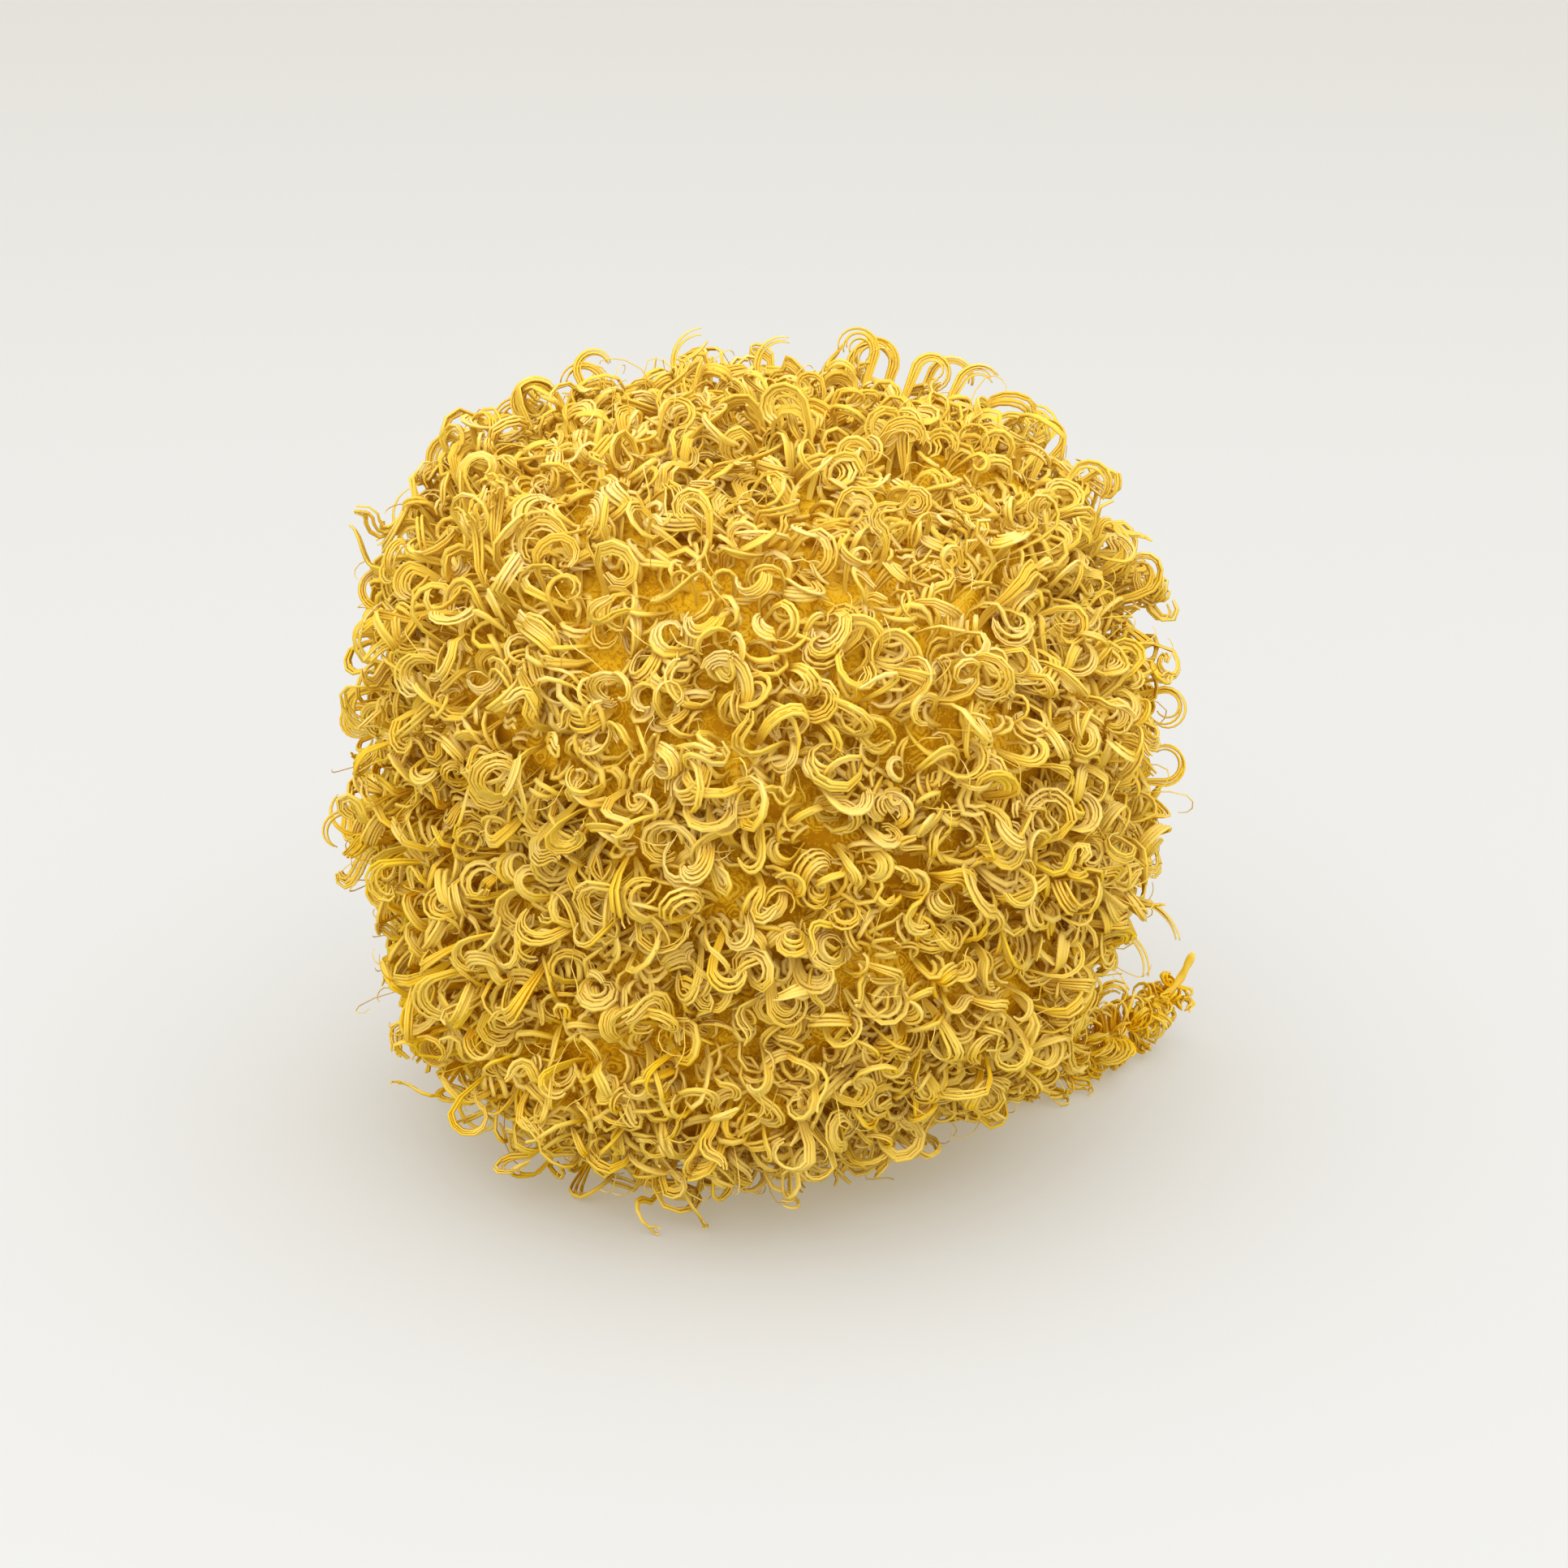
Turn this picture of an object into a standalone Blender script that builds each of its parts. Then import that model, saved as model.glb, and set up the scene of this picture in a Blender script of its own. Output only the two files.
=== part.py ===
"""A ball of curly pile yarn: the wound ball as one solid, and the loose end that lies beside it.

Sizes are in metres and +Z is up. The origin is the middle of the ball's box, on the surface that
the ball rests on. The solids reach as far as the curls of the pile do.
"""

import math
from collections import namedtuple

import bmesh
import bpy
from mathutils import Matrix, Vector
from mathutils.bvhtree import BVHTree

# The ball, over its curls.
BALL_WIDTH = 0.110
BALL_DEPTH = 0.108
BALL_HEIGHT = 0.106
REST_RADIUS = 0.023  # of the spot that the ball's own weight has flattened
FULLNESS = 3.0  # 2 makes the side view an ellipse, and more fills out its shoulders
LEAN = 0.0052  # how far its foot lies towards -X of its middle
LEAN_BLEND = 1.15  # the share of the ball's half height over which the lean dies out

# The yarn as it was wound, counted over its pile.
TURN_PITCH = 0.0145  # from one turn to the next beside it
TURN_CROWN = 0.0045  # how far a turn's middle stands above the furrow beside it
LAY_RISE = 0.0012  # how far each lay stands above the one that it crosses
REST_BLEND = 0.45  # the share of the ball's half height over which the rest spot irons the turns out

# The ball is wound in lays of turns side by side, and turned in the hand before the next one.
# axis_round and axis_down are the degrees of a lay's axis round +Z from +X, and down from +Z.
# first is how far its first turn lies from the ball's middle, along that axis, in turn pitches.
Lay = namedtuple("Lay", "axis_round axis_down first turns")
LAYS = (
    Lay(axis_round=25, axis_down=88, first=-3.6, turns=8),
    Lay(axis_round=120, axis_down=35, first=-3.1, turns=7),
    Lay(axis_round=-75, axis_down=62, first=-2.6, turns=4),
    Lay(axis_round=165, axis_down=75, first=-1.9, turns=3),
    Lay(axis_round=60, axis_down=50, first=-1.7, turns=3),
    Lay(axis_round=-20, axis_down=28, first=0.7, turns=3),
    Lay(axis_round=95, axis_down=68, first=0.9, turns=2),
)

# The mesh of the ball starts as a cube, which is rounded to a sphere.
CUBE_DIVISIONS = 26
SMOOTH_PASSES = 2
SMOOTH_SHARE = 0.5

# The loose end: points down its middle, from under the ball to its tip, and its pile's radius there.
EndPoint = namedtuple("EndPoint", "x y z pile_radius")
LOOSE_END = (
    EndPoint(x=0.0290, y=0.0030, z=0.0030, pile_radius=0.0020),
    EndPoint(x=0.0375, y=0.0070, z=0.0046, pile_radius=0.0042),
    EndPoint(x=0.0450, y=0.0120, z=0.0052, pile_radius=0.0050),
    EndPoint(x=0.0510, y=0.0180, z=0.0052, pile_radius=0.0050),
    EndPoint(x=0.0565, y=0.0240, z=0.0060, pile_radius=0.0042),
    EndPoint(x=0.0608, y=0.0272, z=0.0088, pile_radius=0.0022),
    EndPoint(x=0.0632, y=0.0280, z=0.0134, pile_radius=0.0008),
)
END_STEP = 0.0022  # between the rings of the loose end's tube
END_BEVEL_RESOLUTION = 4
SEAT_CLEARANCE = 0.0003  # between the loose end and the ball that it comes out of
SEAT_STEP = 0.0001
RING_CHECKS = 24  # points round the tube that are tried against the ball

YARN_COLOUR = (0.72, 0.43, 0.05, 1.0)
YARN_ROUGHNESS = 0.85


def clear_scene():
    for obj in list(bpy.data.objects):
        bpy.data.objects.remove(obj, do_unlink=True)


def yarn_material():
    """Dyed wool in a warm golden yellow."""
    material = bpy.data.materials.new("curly_yarn")
    material.use_nodes = True
    shader = material.node_tree.nodes["Principled BSDF"]
    shader.inputs["Base Color"].default_value = YARN_COLOUR
    shader.inputs["Roughness"].default_value = YARN_ROUGHNESS
    shader.inputs["Metallic"].default_value = 0.0
    material.diffuse_color = YARN_COLOUR
    return material


def smooth_step(value):
    value = min(max(value, 0.0), 1.0)
    return value * value * (3.0 - 2.0 * value)


def superellipse(share):
    """The other coordinate of a superellipse of unit half axes, where one of them is this share."""
    return (1.0 - min(abs(share), 1.0) ** FULLNESS) ** (1.0 / FULLNESS)


def half_height():
    """Half the height that the ball would have without its flat spot."""
    return BALL_HEIGHT / (1.0 + superellipse(2.0 * REST_RADIUS / BALL_WIDTH))


def smooth_radius(direction):
    """How far the ball reaches that way before its turns are counted."""
    across = math.hypot(2.0 * direction.x / BALL_WIDTH, 2.0 * direction.y / BALL_DEPTH)
    up = abs(direction.z) / half_height()
    return (across**FULLNESS + up**FULLNESS) ** (-1.0 / FULLNESS)


def lay_axis(lay):
    turned = Matrix.Rotation(math.radians(lay.axis_round), 3, "Z")
    leant = Matrix.Rotation(math.radians(lay.axis_down), 3, "Y")
    return turned @ leant @ Vector((0.0, 0.0, 1.0))


def turn_height(direction):
    """How far the turns stand up that way: the topmost of those that pass there counts."""
    place = direction * smooth_radius(direction)
    height = 0.0
    for level, lay in enumerate(LAYS):
        along = place.dot(lay_axis(lay)) / TURN_PITCH
        nearest = min(max(round(along - lay.first), 0), lay.turns - 1)
        off = 2.0 * abs(along - lay.first - nearest)
        if off < 1.0:
            crown = TURN_CROWN * (1.0 - off * off)
            height = max(height, level * LAY_RISE + crown)
    ironed = smooth_step((1.0 + place.z / half_height()) / REST_BLEND)
    return height * ironed


def leant(place):
    """The same place with the ball's foot pushed to one side."""
    share = smooth_step((1.0 + place.z / half_height()) / LEAN_BLEND)
    return place - Vector((LEAN * (1.0 - share), 0.0, 0.0))


def rounded_cube():
    """A sphere of unit radius made of even quads."""
    mesh = bmesh.new()
    bmesh.ops.create_cube(mesh, size=2.0)
    bmesh.ops.subdivide_edges(mesh, edges=mesh.edges, cuts=CUBE_DIVISIONS - 1, use_grid_fill=True)
    for vertex in mesh.verts:
        evened = [math.tan(value * math.pi / 4.0) for value in vertex.co]
        vertex.co = Vector(evened).normalized()
    return mesh


def fit_to_box(mesh, low, high):
    """Moves and stretches the mesh so that its box has these corners."""
    for axis in range(3):
        values = [vertex.co[axis] for vertex in mesh.verts]
        least, most = min(values), max(values)
        stretch = (high[axis] - low[axis]) / (most - least)
        for vertex in mesh.verts:
            vertex.co[axis] = low[axis] + (vertex.co[axis] - least) * stretch


def flatten_base(mesh):
    """Cuts the ball off at the surface that it rests on, and closes it with one flat face."""
    everything = list(mesh.verts) + list(mesh.edges) + list(mesh.faces)
    bmesh.ops.bisect_plane(
        mesh, geom=everything, plane_co=(0, 0, 0), plane_no=(0, 0, -1), clear_outer=True
    )
    open_edges = [edge for edge in mesh.edges if edge.is_boundary]
    bmesh.ops.contextual_create(mesh, geom=open_edges)


def make_ball(material):
    mesh = rounded_cube()
    for vertex in mesh.verts:
        direction = vertex.co.normalized()
        vertex.co = leant(direction * (smooth_radius(direction) + turn_height(direction)))
    for _ in range(SMOOTH_PASSES):
        bmesh.ops.smooth_vert(
            mesh, verts=mesh.verts, factor=SMOOTH_SHARE, use_axis_x=True, use_axis_y=True, use_axis_z=True
        )
    under_surface = BALL_HEIGHT - 2.0 * half_height()
    fit_to_box(
        mesh,
        (-BALL_WIDTH / 2, -BALL_DEPTH / 2, under_surface),
        (BALL_WIDTH / 2, BALL_DEPTH / 2, BALL_HEIGHT),
    )
    flatten_base(mesh)
    bmesh.ops.recalc_face_normals(mesh, faces=mesh.faces)
    data = bpy.data.meshes.new("ball")
    mesh.to_mesh(data)
    mesh.free()
    data.shade_smooth()
    data.set_sharp_from_angle(angle=math.radians(60))
    data.materials.append(material)
    ball = bpy.data.objects.new("ball", data)
    bpy.context.scene.collection.objects.link(ball)
    return ball


def smooth_value(before, start, end, after, share):
    """A Catmull-Rom curve between start and end."""
    return 0.5 * (
        2.0 * start
        + (end - before) * share
        + (2.0 * before - 5.0 * start + 4.0 * end - after) * share**2
        + (3.0 * start - before - 3.0 * end + after) * share**3
    )


def fine_route(points, step):
    """The points again with others on a smooth curve between them, about step apart."""
    route = [Vector(point) for point in points]
    ends = [2.0 * route[0] - route[1]] + route + [2.0 * route[-1] - route[-2]]
    found = []
    for index in range(1, len(ends) - 2):
        around = ends[index - 1 : index + 3]
        count = max(1, round((around[2].xyz - around[1].xyz).length / step))
        found += [smooth_value(*around, part / count) for part in range(count)]
    return found + [route[-1]]


def ring_around(point, ahead):
    """Points on the tube's outside at this point of its route."""
    turn = (ahead.xyz - point.xyz).to_track_quat("Z", "Y")
    angles = [math.tau * part / RING_CHECKS for part in range(RING_CHECKS)]
    return [point.xyz + turn @ Vector((math.cos(a), math.sin(a), 0.0)) * point.w for a in angles]


def first_clear(route, ball):
    """The index of the first point where the tube is clear of the ball."""
    tree = BVHTree.FromPolygons(
        [vertex.co for vertex in ball.data.vertices],
        [tuple(face.vertices) for face in ball.data.polygons],
    )
    for index in range(len(route) - 1):
        clearances = []
        for place in ring_around(route[index], route[index + 1]):
            near, normal, _, distance = tree.find_nearest(place)
            clearances.append(math.copysign(distance, (place - near).dot(normal)))
        if min(clearances) >= SEAT_CLEARANCE:
            return index
    return len(route) - 2


def make_loose_end(material, ball):
    """The yarn's end as a tube over its pile, which starts just clear of the ball."""
    route = fine_route(LOOSE_END, SEAT_STEP)
    route = route[first_clear(route, ball) :]
    kept = route[:: round(END_STEP / SEAT_STEP)]
    if kept[-1] != route[-1]:
        kept.append(route[-1])
    curve = bpy.data.curves.new("loose_end", "CURVE")
    curve.dimensions = "3D"
    curve.bevel_depth = 1.0
    curve.bevel_resolution = END_BEVEL_RESOLUTION
    curve.use_fill_caps = True
    spline = curve.splines.new("POLY")
    spline.points.add(len(kept) - 1)
    for place, point in zip(spline.points, kept, strict=True):
        place.co = (*point.xyz, 1.0)
        place.radius = point.w
    curve.materials.append(material)
    loose_end = bpy.data.objects.new("loose_end", curve)
    bpy.context.scene.collection.objects.link(loose_end)
    return loose_end


def main():
    clear_scene()
    material = yarn_material()
    ball = make_ball(material)
    make_loose_end(material, ball)


main()
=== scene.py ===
# %% [markdown]
# # A ball of curly yarn
# The real ball is one length of pile yarn. Its core is a thin twisted thread, and thousands of short
# locks of wool are caught in the twist. The locks were set in tight curls, so a turn of the yarn looks
# like a row of little rings and hooks. This lesson dresses the plain solid of the ball in those curls.
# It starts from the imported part, because that settles where everything is and how large it is.

# %% Load the part
import math
import random
from collections import namedtuple

import bmesh
import bpy
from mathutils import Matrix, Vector, noise


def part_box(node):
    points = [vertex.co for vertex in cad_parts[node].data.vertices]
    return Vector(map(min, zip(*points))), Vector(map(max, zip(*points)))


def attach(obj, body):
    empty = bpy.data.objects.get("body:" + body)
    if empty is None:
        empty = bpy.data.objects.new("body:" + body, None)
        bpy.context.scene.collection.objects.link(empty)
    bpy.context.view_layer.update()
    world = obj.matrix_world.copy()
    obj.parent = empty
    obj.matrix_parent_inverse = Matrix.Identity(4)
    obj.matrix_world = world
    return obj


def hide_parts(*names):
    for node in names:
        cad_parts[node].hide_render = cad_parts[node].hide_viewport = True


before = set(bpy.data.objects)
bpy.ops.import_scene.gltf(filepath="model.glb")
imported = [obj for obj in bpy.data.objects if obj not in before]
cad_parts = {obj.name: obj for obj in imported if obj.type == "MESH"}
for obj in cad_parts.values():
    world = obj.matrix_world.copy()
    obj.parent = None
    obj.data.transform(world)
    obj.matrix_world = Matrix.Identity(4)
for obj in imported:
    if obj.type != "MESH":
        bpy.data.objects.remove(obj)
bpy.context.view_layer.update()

ball_low, ball_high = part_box("ball")
ball_middle = (ball_low + ball_high) / 2
print("the ball is", [round(size * 1000, 1) for size in ball_high - ball_low], "mm")

# %% [markdown]
# ## Camera
# The camera looks down on the ball a little, as a person at a table does. A long lens keeps its shape
# true. It aims just beside the ball's middle, so that the ball sits a little up and to the left.

# %% Camera
MILLIMETRE = 0.001
CAMERA_LENS = 85.0
CAMERA_RISE = math.radians(20)
CAMERA_DISTANCE = 0.500
AIM_ASIDE = 3.5 * MILLIMETRE
AIM_BELOW = 3.0 * MILLIMETRE

scene = bpy.context.scene
look = Vector((0.0, math.cos(CAMERA_RISE), -math.sin(CAMERA_RISE)))
upwards = Vector((0.0, math.sin(CAMERA_RISE), math.cos(CAMERA_RISE)))
aim = Vector((0.0, 0.0, ball_middle.z)) + Vector((AIM_ASIDE, 0.0, 0.0)) - upwards * AIM_BELOW
camera = bpy.data.objects.new("camera", bpy.data.cameras.new("camera"))
scene.collection.objects.link(camera)
camera.data.lens = CAMERA_LENS
camera.data.clip_start = 0.01
camera.location = aim - look * CAMERA_DISTANCE
camera.rotation_euler = look.to_track_quat("-Z", "Y").to_euler()
scene.camera = camera
print("camera at", [round(value, 3) for value in camera.location])

# %% [markdown]
# ## A way to write node trees
# Curls and finishes are both made of nodes. A long tree is easier to read as sums than as links, so
# this helper wraps each output of a node. Adding or multiplying two of them adds a Math node or a
# Vector Math node to the tree.

# %% Node helper
class Field:
    """One output of a node, with which sums can be written."""

    def __init__(self, tree, socket):
        self.tree = tree
        self.socket = socket

    def is_vector(self):
        return self.socket.type in ("VECTOR", "RGBA")

    def __add__(self, other):
        return self.tree.sum_of("ADD", self, other)

    def __sub__(self, other):
        return self.tree.sum_of("SUBTRACT", self, other)

    def __mul__(self, other):
        return self.tree.sum_of("MULTIPLY", self, other)

    def __truediv__(self, other):
        return self.tree.sum_of("DIVIDE", self, other)

    def __pow__(self, other):
        return self.tree.sum_of("POWER", self, other)

    __radd__ = __add__
    __rmul__ = __mul__

    def __rsub__(self, other):
        return self.tree.sum_of("SUBTRACT", other, self)


class Tree:
    """A node tree that is built by calling it."""

    def __init__(self, name, kind="GeometryNodeTree"):
        self.tree = bpy.data.node_groups.new(name, kind)
        self.links = self.tree.links
        self.nodes = self.tree.nodes

    def input(self, name, kind, value=None):
        socket = self.tree.interface.new_socket(name, in_out="INPUT", socket_type=kind)
        if value is not None:
            socket.default_value = value

    def output(self, name, kind):
        self.tree.interface.new_socket(name, in_out="OUTPUT", socket_type=kind)

    def start(self):
        """Adds the group's input node, and gives its outputs by name."""
        node = self.nodes.new("NodeGroupInput")
        return {socket.name: Field(self, socket) for socket in node.outputs if socket.name}

    def node(self, kind, inputs=None, **settings):
        made = self.nodes.new(kind)
        for name, value in settings.items():
            setattr(made, name, value)
        for key, value in (inputs or {}).items():
            if isinstance(value, Field):
                self.links.new(value.socket, made.inputs[key])
            else:
                made.inputs[key].default_value = value
        return made

    def get(self, kind, inputs=None, out=0, **settings):
        """Adds a node and gives one of its outputs."""
        return Field(self, self.node(kind, inputs, **settings).outputs[out])

    def sum_of(self, operation, first, second=None, third=None):
        given = [value for value in (first, second, third) if value is not None]
        vectors = [isinstance(value, Field) and value.is_vector() for value in given]
        if not any(vectors):
            return self.get("ShaderNodeMath", dict(enumerate(given)), operation=operation)
        if operation == "MULTIPLY" and not all(vectors):
            vector, number = (first, second) if vectors[0] else (second, first)
            if not isinstance(number, tuple):
                return self.get("ShaderNodeVectorMath", {0: vector, 3: number}, operation="SCALE")
        return self.get("ShaderNodeVectorMath", dict(enumerate(given)), operation=operation)

    def cross(self, first, second):
        return self.sum_of("CROSS_PRODUCT", first, second)

    def unit(self, vector):
        return self.get("ShaderNodeVectorMath", {0: vector}, operation="NORMALIZE")

    def smooth(self, value, low, high):
        """0 below low, 1 above high, and a smooth step between them."""
        sockets = {"Value": value, "From Min": low, "From Max": high}
        return self.get("ShaderNodeMapRange", sockets, interpolation_type="SMOOTHSTEP")

    def finish(self, outputs):
        node = self.nodes.new("NodeGroupOutput")
        for name, field in outputs.items():
            self.links.new(field.socket, node.inputs[name])
        return self.tree


print("helper ready")

# %% [markdown]
# ## Wool
# Wool is a mass of fine fibres, so it has no hard shine, and the specular level is turned off: on thin
# tubes it would only draw a grey rim. Dye takes unevenly, so no two locks have quite the same yellow.
# The tips are paler than the roots, and the side of a strand that faces out and up is paler than the
# side that faces in. This is painted light and shade: light gets between real fibres, and a tube of a
# few faces can't show that by itself, so the colour does. The roots are also painted browner low on the
# ball and more golden on its top, where light comes in from all sides: painted shade below and painted
# light above. The materials of the ball share one group of nodes for all this.
# It reads three attributes that the curls carry: how far along the lock a point is, a number for each
# strand, and a place round the strand, from which it draws fine lines that run along the fibre.

# %% The tone of dyed wool
# Colours from the shaded roots to the lit tips, and where on the wool's scale one gives way to the next.
WOOL_SHADE = (0.780, 0.415, 0.005, 1.0)
WOOL_DEEP = (0.870, 0.575, 0.022, 1.0)
WOOL_GOLD = (0.810, 0.562, 0.083, 1.0)
WOOL_PALE = (0.840, 0.630, 0.215, 1.0)
SHADE_TO_DEEP = (-0.30, 0.08)
DEEP_TO_GOLD = (0.05, 0.50)
GOLD_TO_PALE = (0.40, 1.05)
FACING_PALE = (0.30, 0.85)
# What moves a point along that scale: its place on the lock, with painted shade at the root and painted
# light at the tip, chance, and the way it faces, with painted light on the sides that face out and up.
ALONG_WEIGHT = 0.7
SPREAD_WEIGHT = 1.1
FACING_WEIGHT = 0.52
TONE_OFFSET = -0.08
DYE_PATCHES_PER_METRE = 75.0
# Painted light on the top of the ball: between these two heights the roots are painted more golden.
TOP_LIGHT_BETWEEN = (30.0 * MILLIMETRE, 100.0 * MILLIMETRE)
TOP_LIGHT_ON_SHADE = 0.95
TOP_LIGHT_ON_DEEP = 0.80
BUMP_DEPTH = 0.08 * MILLIMETRE


def make_wool_tone():
    tone = Tree("wool_tone", "ShaderNodeTree")
    tone.input("Along", "NodeSocketFloat", 0.5)
    tone.input("Chance", "NodeSocketFloat", 0.5)
    tone.input("Grain", "NodeSocketVector")
    tone.input("Shade", "NodeSocketColor", WOOL_SHADE)
    tone.input("Deep", "NodeSocketColor", WOOL_DEEP)
    tone.input("Gold", "NodeSocketColor", WOOL_GOLD)
    tone.input("Pale", "NodeSocketColor", WOOL_PALE)
    tone.input("Top Light", "NodeSocketFloat", 1.0)
    tone.output("Colour", "NodeSocketColor")
    tone.output("Roughness", "NodeSocketFloat")
    tone.output("Height", "NodeSocketFloat")
    given = tone.start()
    place = tone.get("ShaderNodeTexCoord", out="Object")
    sockets = {"Vector": place, "Scale": DYE_PATCHES_PER_METRE, "Detail": 2.0}
    patch = tone.get("ShaderNodeTexNoise", sockets)
    fine = tone.get("ShaderNodeTexNoise", {"Vector": given["Grain"], "Scale": 1.0, "Detail": 2.0})
    # The three weights add up to 1.85, so half of that puts the middle at 0.
    spread = given["Chance"] * 0.55 + patch * 0.8 + fine * 0.5 - 0.925
    # Painted light and shade: a side that faces out from the ball and up is painted paler, and one that
    # faces in is painted darker.
    open_side = tone.unit(tone.unit(place - tuple(ball_middle)) + (0.0, 0.0, 1.0))
    normal = tone.get("ShaderNodeNewGeometry", out="True Normal")
    facing = tone.get(
        "ShaderNodeVectorMath", {0: normal, 1: open_side}, out="Value", operation="DOT_PRODUCT"
    )
    share = given["Along"] * ALONG_WEIGHT + spread * SPREAD_WEIGHT + facing * FACING_WEIGHT + TONE_OFFSET

    def blend(factor, first, second):
        return tone.get("ShaderNodeMix", {0: factor, 6: first, 7: second}, out=2, data_type="RGBA")

    # Painted light: high on the ball the roots are painted nearly as gold as the rest, as if light soaked
    # down into the pile.
    parts = tone.node("ShaderNodeSeparateXYZ", {0: place})
    painted_top_light = tone.smooth(Field(tone, parts.outputs[2]), *TOP_LIGHT_BETWEEN) * given["Top Light"]
    shade = blend(painted_top_light * TOP_LIGHT_ON_SHADE, given["Shade"], given["Gold"])
    deep = blend(painted_top_light * TOP_LIGHT_ON_DEEP, given["Deep"], given["Gold"])
    colour = blend(tone.smooth(share, *SHADE_TO_DEEP), shade, deep)
    colour = blend(tone.smooth(share, *DEEP_TO_GOLD), colour, given["Gold"])
    # Pale is painted only on sides that face out and up, and less of it low on the ball: painted light, and
    # painted shade below.
    pale = tone.smooth(share, *GOLD_TO_PALE) * tone.smooth(facing, *FACING_PALE) * (painted_top_light * 0.6 + 0.4)
    colour = blend(pale, colour, given["Pale"])
    return tone.finish({"Colour": colour, "Roughness": fine * 0.3 + 0.55, "Height": fine})


wool_tone = make_wool_tone()


def wool_material(name, tones, bump, sources):
    """A wool finish.

    tones sets inputs of the group to values of its own, such as the strength of the painted top light,
    which is how far the roots are painted gold high on the ball. sources gives the node and the output that
    other inputs read.
    """
    material = bpy.data.materials.new(name)
    material.use_nodes = True
    tree = material.node_tree
    shader = tree.nodes["Principled BSDF"]
    group = tree.nodes.new("ShaderNodeGroup")
    group.node_tree = wool_tone
    for socket, value in tones.items():
        group.inputs[socket].default_value = value
    for socket, (node, output) in sources(tree.nodes).items():
        tree.links.new(node.outputs[output], group.inputs[socket])
    relief = tree.nodes.new("ShaderNodeBump")
    relief.inputs["Strength"].default_value = bump
    relief.inputs["Distance"].default_value = BUMP_DEPTH
    tree.links.new(group.outputs["Height"], relief.inputs["Height"])
    tree.links.new(group.outputs["Colour"], shader.inputs["Base Color"])
    tree.links.new(group.outputs["Roughness"], shader.inputs["Roughness"])
    tree.links.new(relief.outputs["Normal"], shader.inputs["Normal"])
    shader.inputs["Specular IOR Level"].default_value = 0.0
    return material


def from_curls(nodes):
    """The attributes that every strand carries."""
    readers = {}
    for socket, attribute, output in (
        ("Along", "along", "Fac"), ("Chance", "chance", "Fac"), ("Grain", "grain", "Vector")
    ):
        reader = nodes.new("ShaderNodeAttribute")
        reader.attribute_name = attribute
        readers[socket] = (reader, output)
    return readers


curl_wool = wool_material("curl_wool", {}, 0.3, from_curls)
print("material:", curl_wool.name)

# %% [markdown]
# ## A tube of rings
# The thread of the loose end, and later a few curls along the outline, are tubes. A tube is a row of
# rings of vertices, joined by faces and closed at both ends. Making it ring by ring leaves every vertex
# in a known place, so that it can carry the attributes that the wool's material reads.

# %% A tube of rings
def add_tube(work, route, axis, radius_at, sides, chance, along_at):
    """Adds a closed tube along the route. No part of the route may run along the axis."""
    along = work.verts.layers.float.get("along") or work.verts.layers.float.new("along")
    number = work.verts.layers.float.get("chance") or work.verts.layers.float.new("chance")
    grain = work.verts.layers.float_vector.get("grain") or work.verts.layers.float_vector.new("grain")
    last = len(route) - 1
    rings = []
    for index, place in enumerate(route):
        ahead = route[min(index + 1, last)] - route[max(index - 1, 0)]
        across = ahead.cross(axis).normalized()
        above = across.cross(ahead).normalized()
        ring = []
        for side in range(sides):
            angle = math.tau * side / sides
            out = (across * math.cos(angle) + above * math.sin(angle)) * radius_at(index, angle)
            vertex = work.verts.new(place + out)
            vertex[along] = along_at(index / last)
            vertex[number] = chance
            round_it = (4.0 * math.cos(angle), 4.0 * math.sin(angle))
            vertex[grain] = (*round_it, 3.0 * index / last + 50.0 * chance)
            ring.append(vertex)
        rings.append(ring)
    for ring, following in zip(rings, rings[1:]):
        for side in range(sides):
            other = (side + 1) % sides
            work.faces.new((ring[side], ring[other], following[other], following[side]))
    work.faces.new(rings[0])
    work.faces.new(rings[-1])


def finish_tubes(work, name):
    bmesh.ops.recalc_face_normals(work, faces=work.faces)
    mesh = bpy.data.meshes.new(name)
    work.to_mesh(mesh)
    work.free()
    mesh.shade_smooth()
    mesh.materials.append(curl_wool)
    made = bpy.data.objects.new(name, mesh)
    scene.collection.objects.link(made)
    return made


# %% [markdown]
# ## The loose end
# The yarn's end lies on the surface beside the ball. Here the make of the yarn can be seen: a thin
# thread of two plies, with locks of pile caught in it all the way round, and a bare tip where it was
# cut. The thread is a tube that follows the part's own route. Its section has two lobes, which turn
# as they go along, and that is all it takes to look like two plies. It is limp, so it lies on the
# surface, and only its short tip stands up. It needs nothing from the ball, so it can be made first.

# %% The thread of the loose end
END_ROUTE = (
    (0.0290, 0.0030, 0.0030), (0.0375, 0.0070, 0.0046), (0.0450, 0.0120, 0.0052), (0.0510, 0.0180, 0.0052),
    (0.0565, 0.0240, 0.0060), (0.0608, 0.0272, 0.0088), (0.0632, 0.0280, 0.0134),
)
END_ACROSS = Vector((-0.55, 0.83, 0.0))
END_DIAMETER = 1.3 * MILLIMETRE
END_STEP = 0.6 * MILLIMETRE
END_SIDES = 10
PLY_DEPTH = 0.12
PLY_LENGTH = 2.8 * MILLIMETRE


def smooth_route(points, step):
    """Points about step apart on a Catmull-Rom curve through the given ones."""
    route = [Vector(point) for point in points]
    ends = [2 * route[0] - route[1]] + route + [2 * route[-1] - route[-2]]
    found = []
    for before, start, end, after in zip(ends, ends[1:], ends[2:], ends[3:]):
        count = max(1, round((end - start).length / step))
        for share in (part / count for part in range(count)):
            found.append(0.5 * (
                2 * start + (end - before) * share
                + (2 * before - 5 * start + 4 * end - after) * share**2
                + (3 * start - before - 3 * end + after) * share**3
            ))
    return found + [route[-1]]


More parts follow.
